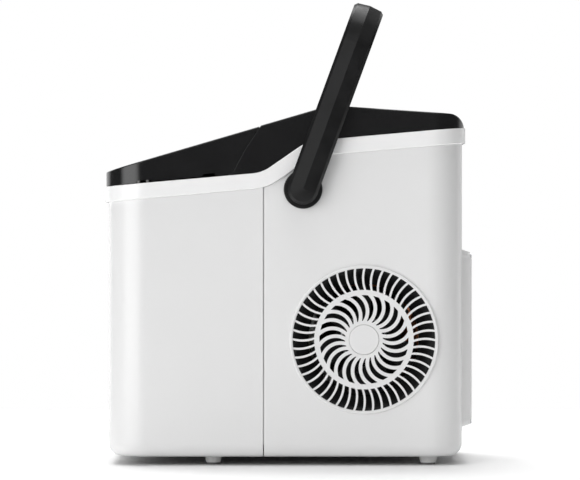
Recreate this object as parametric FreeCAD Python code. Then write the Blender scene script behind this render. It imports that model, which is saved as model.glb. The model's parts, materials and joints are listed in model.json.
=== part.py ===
import FreeCAD, Part
import math
import os

# A countertop ice maker. Millimetres, +Z up, front faces -Y.
# Origin: on the floor, under the middle of the whole machine.

os.makedirs("parts", exist_ok=True)
Vector = FreeCAD.Vector

# ---- Cabinet ----
cabinet_width = 208.0
cabinet_depth = 281.6
foot_height = 6.9
wall = 2.4
front_corner_radius = 30.0
rear_corner_radius = 28.0
bottom_edge_radius = 10.0
housing_seam_from_front = 123.6
housing_seam_gap = 0.8
seam_strip_width = 16.0
seam_strip_thickness = 1.6
strip_above_band_foot = 1.0
fit_gap = 0.4
overcut = 2.0
skin_overlap = 0.5
screw_radius = 1.5
screw_head_radius = 3.2
screw_head_height = 1.8

# ---- Trim band, measured along its top edge ----
band_front_height = 220.8
band_height = 12.3
band_proud = 2.6
band_inset = 3.4
band_slope = 5.0
band_step_slope = 34.6
band_lower_knee_from_front = 122.5
band_step_length = 36.1
band_lower_knee_radius = 28.0
band_upper_knee_radius = 34.0
band_edge_radius = 0.8

# ---- Lid and top cover ----
lid_slope = 16.33
lid_front_rise = 12.0
lid_front_proud = 1.9
cover_rear_proud = 1.6
cover_side_proud = 0.8
apex_from_front = 175.9
apex_radius = 14.0
cover_rear_slope = 3.8
cover_rear_radius = 13.0
cover_wall = 2.4
lid_step = 0.4
lid_seam_from_front = 98.0
lid_seam_kink_rise = 19.8
lid_seam_lower_lean = 27.9
lid_seam_upper_lean = 33.5
lid_seam_gap = 0.5
lid_seam_wide_gap = 1.3
lid_seam_widening = 1.2
lid_bottom_gap = 0.5
top_edge_radius = 1.2
seam_edge_radius = 0.35
finger_notch_height = 0.6
finger_notch_from_front = 23.6
finger_notch_length = 57.0
finger_recess_length = 9.5
finger_recess_height = 2.4
bumper_recess_length = 11.5
bumper_recess_height = 1.6
bumper_radius = 1.2
bumper_gap = 0.15
bumper_spacing = 7.0

# ---- Lid window ----
window_half_width = 70.0
window_length = 84.0
window_behind_front = 18.0
window_ledge = 1.0
window_rim_width = 3.0
window_rim_thickness = 2.0
window_rim_overlap = 0.2
slope_cut = 9.0
window_corner_radius = 12.0
window_rabbet = 4.0

# ---- Lid hinge ----
hinge_behind_seam = 6.5
hinge_depth = 5.9
hinge_pin_radius = 2.0
hinge_clearance = 0.05
knuckle_radius = 5.0
knuckle_from_middle = 62.0
knuckle_width = 14.0
knuckle_side_gap = 0.5
hinge_block_width = 5.0
hinge_block_start = 2.2
hinge_block_back = 0.9
hinge_block_foot = 0.5
hinge_room = 0.6
hinge_skin = 0.6
hinge_root_length = 9.0
hinge_tongue_start = 2.0
hinge_notch_front = 20.0
hinge_inner_skin = 0.3
hinge_pin_end_gap = 0.5

# ---- Carry handle ----
handle_from_front = 154.9
handle_below_band = 35.6
handle_rest_tilt = 20.1
handle_width = 24.2
handle_thickness = 11.0
handle_facet_drop = 1.2
handle_edge_bevel = 2.2
handle_inner_bevel = 0.8
handle_outer_bend = 33.0
handle_rear_clearance = 6.1
handle_side_gap = 1.0
pivot_disc_radius = 15.3
pivot_disc_gap = 0.3
pivot_disc_edge_radius = 0.8
pivot_pin_radius = 6.0
pivot_clearance = 0.08
pivot_pin_inside = 6.0
pivot_washer_radius = 11.0
pivot_washer_thickness = 2.0

# ---- Side grille ----
grille_from_rear = 78.6
grille_height = 99.8
grille_rim_radius = 58.9
grille_rim_width = 2.1
grille_rim_proud = 1.8
grille_rim_round = 0.9
grille_body_radius = 57.2
grille_thickness = 3.0
outer_slot_count = 48
outer_slot_start = 39.3
outer_slot_end = 56.3
outer_vane = 1.7
outer_vane_lean = (-1.4, 0.8, -0.4)
inner_slot_count = 24
inner_slot_start = 14.9
inner_slot_end = 35.2
inner_vane = 2.8
inner_vane_bend = 15.0
inner_vane_centre = (22.4, 12.2)
centre_cap_radius = 11.8
centre_cap_seat = 12.2
centre_cap_depth = 1.2
centre_cap_edge_radius = 0.5

# ---- Rear vent panel ----
rear_panel_depth = 8.2
rear_panel_width = 146.0
rear_panel_bottom = 29.0
rear_panel_height = 142.0
rear_panel_draft = 18.0
rear_panel_wall = 2.2
rear_panel_corner = 7.0
rear_panel_edge_radius = 2.6
rear_panel_opening_inset = 7.0
rear_slot_height = 5.0
rear_slot_pitch = 9.4
rear_slot_length = 56.0
rear_slot_rows = 12
rear_slot_spine = 9.0
rear_slot_roundness = 0.96
panel_screw_reach = 4.0
panel_screw_sink = 1.2
panel_screw_head = 1.0
panel_screw_head_gap = 0.4
panel_boss_gap = 1.0

# ---- Feet ----
front_foot_from_front = 83.6
rear_foot_from_rear = 27.0
front_foot_from_middle = 78.0
rear_foot_from_middle = 80.0
front_foot_radius = 7.0
rear_foot_radius = 7.5
foot_taper = 1.2
pad_height = 1.6
pad_inset = 0.8
pad_edge_radius = 0.5
base_lip_thickness = 1.8
base_lip_width = 1.0
base_inset = 14.0
base_rib_height = 5.0
base_rib_width = 2.0
base_rib_end_gap = 12.0
base_ribs_from_front = (40.0, 100.0)
base_rib_behind_tub = 4.0
base_screw_from_side = 40.0
base_screw_from_front = 29.0
base_screw_behind_compressor = 6.0
base_screw_reach = 3.0
base_vent_count = 7
base_vent_from_rear = 90.0
base_vent_pitch = 7.5
base_vent_width = 3.5
base_vent_half_length = 34.0
base_vent_end_radius = 1.7

# ---- Tub, insulation, basket and scoop ----
tub_wall = 2.2
tub_floor_height = 26.0
tub_front_gap = 13.0
tub_side_gap = 14.0
tub_corner_radius = 14.0
tub_behind_seam = 24.0
deck_thickness = 2.4
deck_below_band = 1.2
insulation_rear = 6.0
insulation_above_base = 1.5
pivot_pocket = 4.0
basket_top_below_band = 20.8
basket_height = 82.0
basket_wall = 2.4
basket_side_gap = 5.0
basket_tray_gap = 3.4
basket_rim_width = 2.0
basket_rim_height = 3.0
basket_corner_radius = 12.0
basket_slot_width = 5.0
basket_slot_pitch = 12.0
basket_slot_end_margin = 4.0
basket_slot_above_floor = 14.0
basket_slot_below_top = 22.0
basket_floor_slot_inset = 12.0
ledge_size = 12.0
ledge_thickness = 4.0
ledge_from_end = 8.0
scoop_length = 64.0
scoop_width = 44.0
scoop_depth = 22.0
scoop_wall = 2.0
scoop_from_middle = 4.0
scoop_gap = 0.6
scoop_corner_radius = 9.0
scoop_grip_drop = 1.0
scoop_grip_end_radius = 3.0
scoop_grip_length = 62.0
scoop_grip_radius = 6.0

# ---- Ice-making parts ----
tray_inner_radius = 24.0
tray_wall = 2.0
tray_half_length = 56.0
tray_axis_below_band = 24.8
tray_rear_gap = 1.8
tray_shaft_radius = 3.0
shaft_clearance = 0.08
tray_shaft_length = 12.0
tray_hub_radius = 6.0
cheek_from_middle = 60.0
cheek_thickness = 3.0
cheek_below_axis = 12.0
bridge_above_axis = 29.0
bridge_thickness = 2.5
bridge_reach = 20.0
bridge_post_from_middle = 36.0
bridge_post_size = 6.0
pour_behind_axis = 8.0
pour_hole_gap = 1.0
finger_radius = 4.5
finger_length = 30.0
finger_pitch = 10.4
finger_count = 9
finger_end_radius = 3.0
finger_row_offset = 6.5
evaporator_plate_rise = 14.0
evaporator_plate_thickness = 4.0
evaporator_plate_half_width = 13.5
evaporator_plate_half_length = 50.0
evaporator_tube_radius = 3.0
evaporator_tube_bend = 8.0
evaporator_tube_places = (-22.0, 12.0)
pipe_ahead_of_axis = 6.0
pipe_bore_gap = 1.4
pipe_above_bridge = 4.5
hose_above_bridge = 3.0
tray_motor_size = (18.0, 26.0, 30.0)
tray_motor_boss_radius = 9.0
tray_motor_boss_length = 3.5
sensor_size = (2.4, 12.0, 8.0)
sensor_above_basket = 8.0
float_from_middle = 40.0
float_from_rear = 12.0
float_radius = 8.0
float_height = 12.0
float_above_floor = 20.0
float_stem_radius = 2.0
float_stem_length = 40.0

# ---- Cooling circuit ----
compressor_radius = 40.0
compressor_height = 112.0
compressor_from_middle = 45.0
compressor_from_rear = 76.0
compressor_foot_height = 9.0
compressor_dome_radius = 22.0
compressor_base_radius = 8.0
compressor_plate_thickness = 2.5
compressor_plate_radius = 10.0
compressor_belt_proud = 1.5
compressor_belt_height = 4.0
terminal_cover_size = (16.0, 30.0, 32.0)
terminal_cover_height = 30.0
terminal_cover_radius = 3.0
grommet_radius = 8.0
grommet_inset = 9.0
stub_from_axis = (12.0, 9.0)
stub_root = 6.0
stub_radius = 5.0
stub_length = 8.0
condenser_thickness = 20.0
condenser_gap = 3.0
condenser_fin_thickness = 0.8
condenser_fin_pitch = 4.0
condenser_tube_radius = 3.5
condenser_tube_pass_count = 6
condenser_tube_bend = 5.5
condenser_rail = 1.5
condenser_end_inset = 2.0
condenser_return = 6.0
condenser_end_reach = 4.0
tube_radius = 3.0
tube_bend = 5.0
tube_lane_behind_tub = 14.0
discharge_above_condenser = 13.0
discharge_side_step = 12.0
liquid_side_step = 10.0
liquid_drop = 22.0
capillary_radius = 1.4
capillary_behind_lane = 10.0
drier_radius = 8.0
drier_length = 66.0
drier_end_radius = 4.0
drier_from_middle = 34.0
drier_gap = 6.0
drier_below_fan = 30.0
valve_size = (22.0, 22.0, 26.0)
valve_coil_radius = 9.0
valve_above_compressor = 12.0
hot_gas_bend = 9.0
hot_gas_feed_radius = 2.5

# ---- Fan and pump ----
fan_radius = 42.0
fan_hub_radius = 17.0
fan_blade_count = 7
fan_blade_thickness = 1.6
fan_blade_width = 13.0
fan_blade_pitch = 32.0
fan_depth = 14.0
fan_inside_grille = 8.0
fan_motor_radius = 19.0
fan_motor_length = 30.0
fan_motor_gap = 3.0
fan_motor_edge_radius = 2.5
fan_motor_fit = 0.05
fan_shaft_radius = 2.5
fan_shaft_reach = 6.0
fan_shaft_room = 7.0
fan_hub_edge_radius = 3.0
fan_blade_root = 3.0
shroud_gap = 2.0
shroud_wall = 2.0
shroud_arm_width = 9.0
shroud_arm_count = 3
shroud_arm_depth = 4.0
shroud_collar = 3.0
shroud_rear_reach = 8.0
shroud_short_of_fan = 2.0
shroud_mouth_radius = 56.6
shroud_mouth_gap = 1.0
shroud_pocket_gap = 0.8
pump_radius = 17.0
pump_height = 30.0
pump_chamber_radius = 13.0
pump_chamber_height = 13.5
pump_floor = 3.0
pump_from_side = 54.0
pump_gap = 5.0
pump_above_base = 1.0
pump_inlet_radius = 5.0
pump_inlet_length = 16.0
pump_inlet_height = 22.0
pump_inlet_reach = 3.0
pump_outlet_offset = 9.0
pump_outlet_length = 6.0
impeller_radius = 11.5
impeller_blade_count = 6
impeller_hub_radius = 4.0
impeller_blade_thickness = 1.4
impeller_blade_root = 2.0
impeller_gap = 0.6
hose_radius = 4.5
hose_wall = 1.0
hose_bend = 6.0
hose_first_rise = 20.0
hose_second_rise = 44.0
hose_from_insulation = 9.0
hose_end_drop = 6.5

# ---- Controls, drain and power ----
panel_half_width = 62.0
panel_start = 19.0
panel_length = 34.0
panel_thickness = 1.4
panel_corner_radius = 5.0
panel_floor_margin = 3.0
panel_floor_radius = 4.0
button_radius = 7.0
button_gap = 0.35
button_travel = 1.2
button_rise = 0.8
button_height = 5.0
button_offset = 42.0
button_edge_radius = 0.6
switch_half = 3.0
switch_gap = 0.3
lens_radius = 1.6
lens_pitch = 13.0
lens_count = 4
lens_length = 4.4
lens_proud = 0.2
board_thickness = 1.6
board_depth = 14.0
board_inset = 4.0
chip_size = (24.0, 14.0, 2.5)
drain_height = 34.0
drain_from_front = 56.0
drain_radius = 7.0
drain_bore_radius = 4.5
drain_cap_radius = 12.0
drain_cap_thickness = 5.0
drain_cap_edge_radius = 1.4
drain_neck_gap = 1.0
drain_plug_gap = 0.3
drain_plug_length = 11.0
drain_groove_from_neck = 3.5
drain_groove_width = 1.8
drain_groove_depth = 1.0
drain_seal_gap = 0.1
drain_seal_proud = 0.15
power_board_gap = 3.0
power_board_above_compressor = 46.0
power_board_half_width = 34.0
power_board_height = 50.0
relay_size = (14.0, 18.0, 24.0)
terminal_size = (10.0, 20.0, 14.0)
power_part_height = 10.0
power_part_from_middle = (-11.0, 18.0)
gland_radius = 6.5
gland_fit = 0.2
gland_flange = 2.0
gland_flange_thickness = 3.0
gland_inside = 5.0
gland_nose_length = 4.0
gland_nose_taper = 2.0
gland_bore_radius = 3.4
gland_from_middle = 75.0
gland_height = 22.5
bumper_from_notch = 0.3

# ---- Values that follow from the sizes above ----
half_width = cabinet_width / 2
overall_depth = cabinet_depth + band_proud + rear_panel_depth
front_y = band_proud - overall_depth / 2
rear_y = front_y + cabinet_depth
seam_y = front_y + housing_seam_from_front
cut_height = 420.0
beyond = 60.0

band_start_y = front_y - band_proud
band_end_y = rear_y + band_proud
lower_knee_y = front_y + band_lower_knee_from_front
upper_knee_y = lower_knee_y + band_step_length
lower_knee_z = band_front_height + (lower_knee_y - band_start_y) * math.tan(math.radians(band_slope))
upper_knee_z = lower_knee_z + band_step_length * math.tan(math.radians(band_step_slope))
band_end_z = upper_knee_z + (band_end_y - upper_knee_y) * math.tan(math.radians(band_slope))

lid_front_y = front_y - lid_front_proud
lid_front_height = band_front_height + lid_front_rise
cover_rear_y = rear_y + cover_rear_proud
apex_y = front_y + apex_from_front
slope_rise = math.tan(math.radians(lid_slope))


def band_top_z(y):
    """Height of the band's top edge at a given depth, knees left sharp."""
    if y < lower_knee_y:
        return band_front_height + (y - band_start_y) * math.tan(math.radians(band_slope))
    if y < upper_knee_y:
        return lower_knee_z + (y - lower_knee_y) * math.tan(math.radians(band_step_slope))
    return upper_knee_z + (y - upper_knee_y) * math.tan(math.radians(band_slope))


def cover_top_z(y):
    """Height of the sloping cover surface in front of the apex."""
    return lid_front_height + (y - lid_front_y) * slope_rise


apex_z = cover_top_z(apex_y)
seam_foot = (front_y + lid_seam_from_front, band_top_z(front_y + lid_seam_from_front))
seam_kink_z = seam_foot[1] + lid_seam_kink_rise
seam_kink = (seam_foot[0] + lid_seam_kink_rise * math.tan(math.radians(lid_seam_lower_lean)), seam_kink_z)
upper_lean = math.tan(math.radians(lid_seam_upper_lean))
seam_top_rise = (cover_top_z(seam_kink[0]) - seam_kink[1]) / (1 - upper_lean * slope_rise)
seam_top = (seam_kink[0] + seam_top_rise * upper_lean, seam_kink[1] + seam_top_rise)

pivot_y = front_y + handle_from_front
pivot_z = band_top_z(pivot_y) - handle_below_band
rear_corner_reach = math.hypot(band_end_y - pivot_y, band_end_z - pivot_z)
handle_reach = rear_corner_reach + handle_rear_clearance + handle_thickness
arm_inner_x = half_width + band_proud + handle_side_gap

grille_y = rear_y - grille_from_rear
tub_front = front_y + tub_front_gap
tub_rear = seam_y + tub_behind_seam
tub_half = half_width - tub_side_gap
tray_y = tub_rear - tub_wall - tray_rear_gap - tray_inner_radius - tray_wall
tray_front = tray_y - tray_inner_radius - tray_wall
basket_front = tub_front + tub_wall + basket_side_gap
basket_length = tray_front - basket_tray_gap - basket_rim_width - basket_front
basket_bottom = band_front_height - basket_top_below_band - basket_height
tray_axis_height = band_front_height - tray_axis_below_band
compressor_y = rear_y - compressor_from_rear
base_top = foot_height + wall + base_lip_thickness
drain_y = front_y + drain_from_front

parts = {}


# ---- Shape helpers ----

def outline(corners, place):
    """Closed wire through (u, v, radius) corners; place(u, v) gives the point in space."""
    count = len(corners)
    arcs = []
    for index in range(count):
        u, v, radius = corners[index]
        before = corners[index - 1]
        after = corners[(index + 1) % count]
        if radius <= 0:
            arcs.append(((u, v), None, (u, v)))
            continue
        in_u, in_v = before[0] - u, before[1] - v
        out_u, out_v = after[0] - u, after[1] - v
        in_len = math.hypot(in_u, in_v)
        out_len = math.hypot(out_u, out_v)
        in_u, in_v = in_u / in_len, in_v / in_len
        out_u, out_v = out_u / out_len, out_v / out_len
        half_angle = math.acos(in_u * out_u + in_v * out_v) / 2
        reach = radius / math.tan(half_angle)
        mid_u, mid_v = in_u + out_u, in_v + out_v
        mid_len = math.hypot(mid_u, mid_v)
        to_middle = radius / math.sin(half_angle) - radius
        start = (u + in_u * reach, v + in_v * reach)
        end = (u + out_u * reach, v + out_v * reach)
        middle = (u + mid_u / mid_len * to_middle, v + mid_v / mid_len * to_middle)
        arcs.append((start, middle, end))
    edges = []
    for index in range(count):
        start, middle, end = arcs[index]
        if middle is not None:
            edges.append(Part.Arc(place(*start), place(*middle), place(*end)).toShape())
        next_start = arcs[(index + 1) % count][0]
        if math.hypot(next_start[0] - end[0], next_start[1] - end[1]) > 1e-6:
            edges.append(Part.LineSegment(place(*end), place(*next_start)).toShape())
    return Part.Wire(edges)


def side_prism(corners, x_low, x_high):
    """Side outline of (y, z, radius) corners carried across the width."""
    wire = outline(corners, lambda y, z: Vector(x_low, y, z))
    return Part.Face(wire).extrude(Vector(x_high - x_low, 0, 0))


def plan_prism(corners, z_low, z_high):
    """Plan outline of (x, y, radius) corners carried upward."""
    wire = outline(corners, lambda x, y: Vector(x, y, z_low))
    return Part.Face(wire).extrude(Vector(0, 0, z_high - z_low))


def rectangle(u_low, u_high, v_low, v_high, radius=0.0):
    return [(u_low, v_low, radius), (u_high, v_low, radius), (u_high, v_high, radius), (u_low, v_high,
                                                                                        radius)]


def footprint(offset, front_extra=0.0, rear_extra=0.0):
    """Cabinet outline in plan, grown by offset all round."""
    x = half_width + offset
    y_low = front_y - offset - front_extra
    y_high = rear_y + offset + rear_extra
    front = front_corner_radius + offset
    rear = rear_corner_radius + offset
    return [(-x, y_low, front), (x, y_low, front), (x, y_high, rear), (-x, y_high, rear)]


def box(x_low, x_high, y_low, y_high, z_low, z_high):
    return Part.makeBox(x_high - x_low, y_high - y_low, z_high - z_low, Vector(x_low, y_low, z_low))


def cylinder(radius, length, start, direction):
    return Part.makeCylinder(radius, length, start, direction)


def fuse(shapes):
    return shapes[0].multiFuse(shapes[1:]).removeSplitter()


def both_sides(shape):
    """The shape and its mirror image across the middle plane."""
    return [shape, shape.mirror(Vector(0, 0, 0), Vector(1, 0, 0))]


def bent_tube(points, radius, bend):
    """Round tube along straight runs joined by tangent arcs."""
    runs = [Vector(*point) for point in points]
    edges = []
    start = runs[0]
    for index in range(1, len(runs) - 1):
        corner = runs[index]
        before = (runs[index - 1] - corner).normalize()
        after = (runs[index + 1] - corner).normalize()
        half_angle = before.getAngle(after) / 2
        reach = bend / math.tan(half_angle)
        to_middle = bend / math.sin(half_angle) - bend
        middle = corner + (before + after).normalize() * to_middle
        if start.distanceToPoint(corner + before * reach) > 1e-6:
            edges.append(Part.LineSegment(start, corner + before * reach).toShape())
        edges.append(Part.Arc(corner + before * reach, middle, corner + after * reach).toShape())
        start = corner + after * reach
    edges.append(Part.LineSegment(start, runs[-1]).toShape())
    path = Part.Wire(edges)
    circle = Part.Circle(runs[0], runs[1] - runs[0], radius).toShape()
    return path.makePipeShell([Part.Wire([circle])], True, True)


def on_slope(shape):
    """Move a shape made at the origin onto the sloping top: X across, Y up the slope, Z out of it."""
    place = FreeCAD.Placement(Vector(0, seam_top[0], seam_top[1]), FreeCAD.Rotation(Vector(1, 0, 0),
                                                                                    lid_slope))
    return shape.transformed(place.toMatrix(), True)


def rounded_edges(shape, radius, wanted):
    """Fillet the edges whose middle point passes the test."""
    chosen = []
    for edge in shape.Edges:
        middle = edge.valueAt((edge.FirstParameter + edge.LastParameter) / 2)
        if wanted(middle, edge):
            chosen.append(edge)
    return shape.makeFillet(radius, chosen)


# ---- Lines seen from the side ----

def band_line(drop):
    """Band edge line (y, z, radius), moved down square to itself by drop."""
    knees = [(band_start_y - beyond, band_top_z(band_start_y - beyond)), (lower_knee_y, lower_knee_z),
             (upper_knee_y, upper_knee_z), (band_end_y + beyond, band_top_z(band_end_y + beyond))]
    slopes = [math.radians(band_slope), math.radians(band_step_slope), math.radians(band_slope)]
    radii = [0, band_lower_knee_radius + drop, max(band_upper_knee_radius - drop, 1.0), 0]
    line = []
    for index in range(4):
        y, z = knees[index]
        before = slopes[max(index - 1, 0)]
        after = slopes[min(index, 2)]
        lean = (before + after) / 2
        reach = drop / math.cos((after - before) / 2)
        line.append((y + reach * math.sin(lean), z - reach * math.cos(lean), radii[index]))
    return line


def under_band_line(drop):
    """Everything below the band's edge line, as wide as the whole machine."""
    line = band_line(drop)
    corners = [(line[0][0], -beyond, 0), (line[-1][0], -beyond, 0)] + line[::-1]
    return side_prism(corners, -half_width - beyond, half_width + beyond)


def over_band_line(drop):
    line = band_line(drop)
    corners = line + [(line[-1][0], cut_height, 0), (line[0][0], cut_height, 0)]
    return side_prism(corners, -half_width - beyond, half_width + beyond)


# ---- Housing halves, base and band ----

def cabinet_block(offset, bottom, edge_radius):
    block = plan_prism(footprint(offset), bottom, cut_height)
    return rounded_edges(block, edge_radius, lambda middle, edge: abs(middle.z - bottom) < 0.01)


def grille_hole():
    return cylinder(grille_body_radius + fit_gap / 2, beyond, Vector(half_width - wall - overcut, grille_y,
                                                                     grille_height),
                    Vector(1, 0, 0))


def pivot_bores(radius):
    start = Vector(-half_width - beyond, pivot_y, pivot_z)
    return cylinder(radius, cabinet_width + 2 * beyond, start, Vector(1, 0, 0))


def rear_vent_opening():
    half = rear_panel_width / 2 - rear_panel_opening_inset
    low = rear_panel_bottom + rear_panel_opening_inset
    high = rear_panel_bottom + rear_panel_height - rear_panel_opening_inset
    return box(-half, half, rear_y - wall - overcut, rear_y + overcut, low, high)


def panel_screw_points():
    half = rear_panel_width / 2 - rear_panel_opening_inset / 2 - rear_panel_wall
    low = rear_panel_bottom + rear_panel_opening_inset / 2 + rear_panel_wall
    high = rear_panel_bottom + rear_panel_height - rear_panel_opening_inset / 2 - rear_panel_wall
    return [(x, z) for x in (-half, half) for z in (low, high)]


def housing_shell():
    outer = cabinet_block(0, foot_height, bottom_edge_radius)
    inner = cabinet_block(-wall, foot_height + wall, bottom_edge_radius - wall)
    opening = plan_prism(footprint(-base_inset), foot_height - overcut, foot_height + wall + overcut)
    shell = outer.cut([inner, opening])
    return shell.common(under_band_line(band_height))


def make_housings():
    shell = housing_shell()
    wide = half_width + beyond
    front_side = box(-wide, wide, front_y - beyond, seam_y - housing_seam_gap / 2, -beyond, cut_height)
    rear_side = box(-wide, wide, seam_y + housing_seam_gap / 2, rear_y + beyond, -beyond, cut_height)
    strip_low = foot_height + bottom_edge_radius
    strip = plan_prism(footprint(-wall), strip_low, cut_height)
    strip = strip.cut(plan_prism(footprint(-wall - seam_strip_thickness), strip_low - overcut,
                                 cut_height + overcut))
    half_strip = seam_strip_width / 2
    strip = strip.common(box(-wide, wide, seam_y - half_strip, seam_y + half_strip, strip_low, cut_height))
    strip = strip.common(under_band_line(band_height + strip_above_band_foot))
    drain_hole = cylinder(drain_radius + fit_gap, beyond, Vector(-half_width - overcut, drain_y,
                                                                 drain_height),
                          Vector(1, 0, 0))
    through = wall + 2 * overcut
    inside_y = rear_y - wall - overcut
    gland_hole = cylinder(gland_radius, through, Vector(-gland_from_middle, inside_y, gland_height),
                          Vector(0, 1, 0))
    parts["front_housing"] = shell.common(front_side).cut(drain_hole)
    rear = fuse([shell.common(rear_side), strip])
    cuts = [grille_hole(), pivot_bores(pivot_pin_radius + pivot_clearance), rear_vent_opening(), gland_hole]
    for x, z in panel_screw_points():
        cuts.append(cylinder(screw_radius, through, Vector(x, inside_y, z), Vector(0, 1, 0)))
    parts["rear_housing"] = rear.cut(cuts)


def foot_rows():
    """Distance from the middle, depth and radius of the front and rear pair of feet."""
    return {
        "front_feet": (front_foot_from_middle, front_y + front_foot_from_front, front_foot_radius),
        "rear_feet": (rear_foot_from_middle, rear_y - rear_foot_from_rear, rear_foot_radius),
    }


def base_screw_points():
    x = half_width - base_screw_from_side
    rows = (front_y + base_screw_from_front, compressor_y + base_screw_behind_compressor)
    return [(side * x, y) for side in (-1, 1) for y in rows]


def make_base():
    plate = plan_prism(footprint(-base_inset - fit_gap), foot_height, base_top)
    ribs_x = half_width - base_inset - base_rib_end_gap
    rows = [front_y + distance for distance in base_ribs_from_front] + [tub_rear + base_rib_behind_tub]
    half = base_rib_width / 2
    ribs = [box(-ribs_x, ribs_x, y - half, y + half, base_top, base_top + base_rib_height) for y in rows]
    lip = plan_prism(footprint(-base_inset + base_lip_width), foot_height + wall, base_top)
    through = base_top - foot_height + 2 * overcut
    holes = [cylinder(screw_radius, through, Vector(x, y, foot_height - overcut), Vector(0, 0, 1))
             for x, y in base_screw_points()]
    vents = []
    for index in range(base_vent_count):
        y = rear_y - base_vent_from_rear + index * base_vent_pitch
        corners = rectangle(-base_vent_half_length, base_vent_half_length, y, y + base_vent_width,
                            base_vent_end_radius)
        vents.append(plan_prism(corners, foot_height - overcut, base_top + overcut))
    parts["base_pan"] = fuse([plate, lip] + ribs).cut(holes + vents)
    screws = []
    for x, y in base_screw_points():
        shank = cylinder(screw_radius, base_top - foot_height + base_screw_reach, Vector(x, y, foot_height),
                         Vector(0, 0, 1))
        head = cylinder(screw_head_radius, screw_head_height, Vector(x, y, foot_height - screw_head_height),
                        Vector(0, 0, 1))
        screws.append(fuse([shank, head]))
    parts["base_screws"] = Part.makeCompound(screws)


def make_feet():
    pads = []
    for name, (x, y, radius) in foot_rows().items():
        cone = Part.makeCone(radius - foot_taper, radius, foot_height - pad_height, Vector(x, y, pad_height))
        parts[name] = Part.makeCompound(both_sides(cone))
        pad = cylinder(radius - foot_taper - pad_inset, pad_height, Vector(x, y, 0), Vector(0, 0, 1))
        pads += both_sides(rounded_edges(pad, pad_edge_radius, lambda middle, edge: middle.z < 0.01))
    parts["foot_pads"] = Part.makeCompound(pads)


def make_band():
    outer = plan_prism(footprint(band_proud), 0, cut_height)
    inner = plan_prism(footprint(-band_inset), -overcut, cut_height + overcut)
    ring = outer.common(under_band_line(0)).common(over_band_line(band_height))
    near_skin = band_proud / 2

    def outer_edge(middle, edge):
        inside_x = abs(middle.x) < half_width + near_skin
        inside_y = front_y - near_skin < middle.y < rear_y + near_skin
        upright = abs(edge.tangentAt(edge.FirstParameter).z) > 0.9
        corner = inside_x and inside_y and abs(middle.x) < half_width - front_corner_radius / 2
        return not upright and not corner

    ring = rounded_edges(ring, band_edge_radius, outer_edge)
    parts["trim_band"] = ring.cut(inner)


# ---- Lid, cover and hinge ----

def lid_side(inset):
    """Side outline of the lid, shrunk by inset on every visible face."""
    lean = math.radians(lid_slope)
    drop = lid_step + inset
    top_shift = drop / math.cos(lean)
    front = lid_front_y + inset
    kink = (seam_kink[0] - lid_seam_gap / 2 - inset, seam_kink[1])
    foot_drop = seam_top[1] - seam_kink[1] + beyond
    tip_rise = (cover_top_z(kink[0]) - top_shift - kink[1]) / (1 - upper_lean * slope_rise)
    tip = (kink[0] + tip_rise * upper_lean, kink[1] + tip_rise)
    foot = (kink[0] - foot_drop * math.tan(math.radians(lid_seam_lower_lean)), kink[1] - foot_drop)
    return [(front, foot[1], 0), (foot[0], foot[1], 0), (kink[0], kink[1], 0), (tip[0], tip[1], 0),
            (front, cover_top_z(front) - top_shift, 0)]


def cover_side(inset):
    """Side outline of the top cover, shrunk by inset on every visible face."""
    lean = math.radians(lid_slope)
    rear_lean = math.radians(cover_rear_slope)
    drop = inset / math.cos(lean)
    rear_drop = inset / math.cos(rear_lean)
    wide = lid_seam_wide_gap - lid_seam_gap / 2 + inset
    kink = (seam_kink[0] + lid_seam_gap / 2 + inset, seam_kink[1])
    wide_kink = (seam_kink[0] + wide, seam_kink[1] + lid_seam_widening)
    tip_rise = (cover_top_z(wide_kink[0]) - drop - wide_kink[1]) / (1 - upper_lean * slope_rise)
    tip = (wide_kink[0] + tip_rise * upper_lean, wide_kink[1] + tip_rise)
    foot_drop = seam_kink[1] - seam_foot[1] + beyond
    foot = (kink[0] - foot_drop * math.tan(math.radians(lid_seam_lower_lean)), kink[1] - foot_drop)
    rear = cover_rear_y - inset
    top_rear = apex_z - rear_drop - (rear - apex_y) * math.tan(rear_lean)
    crown = (cover_top_z(apex_y) - (drop + rear_drop) / 2)
    return [(foot[0], foot[1], 0), (rear, foot[1], 0), (rear, top_rear, cover_rear_radius - inset),
            (apex_y, crown, apex_radius), (tip[0], tip[1], 0), (wide_kink[0], wide_kink[1], 0),
            (kink[0], kink[1], 0)]


def cap_block(side, inset, edge_radius):
    """Closed lid or cover body above the band, with softened side edges."""
    extra_front = lid_front_proud - cover_side_proud
    extra_rear = cover_rear_proud - cover_side_proud
    plan = plan_prism(footprint(cover_side_proud - inset, extra_front, extra_rear), 0, cut_height)
    wide = half_width + beyond
    block = plan.common(side_prism(side, -wide, wide))
    if edge_radius > 0:
        side_x = half_width + cover_side_proud - inset

        def on_side(middle):
            return abs(abs(middle.x) - side_x) < 0.01

        def top_rim(middle, edge):
            level = edge.BoundBox.ZLength < edge.BoundBox.YLength
            return on_side(middle) and level and middle.z > lid_front_height

        def seam_edge(middle, edge):
            level = edge.BoundBox.ZLength < edge.BoundBox.YLength
            return on_side(middle) and not level and abs(middle.y - seam_kink[0]) < beyond

        block = rounded_edges(block.removeSplitter(), edge_radius, top_rim)
        block = rounded_edges(block, seam_edge_radius, seam_edge)
    return block


def hinge_line(x_low, x_high, radius):
    """Round bar along the hinge axis."""
    bar = cylinder(radius, x_high - x_low, Vector(x_low, hinge_behind_seam, -hinge_depth), Vector(1, 0, 0))
    return on_slope(bar)


def knuckle_range(gap=0.0):
    return knuckle_from_middle - gap, knuckle_from_middle + knuckle_width + gap


def window_outline(low, high, grow):
    half = window_half_width + grow
    return rectangle(-half, half, low - grow, high + grow, window_corner_radius + grow)


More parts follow.
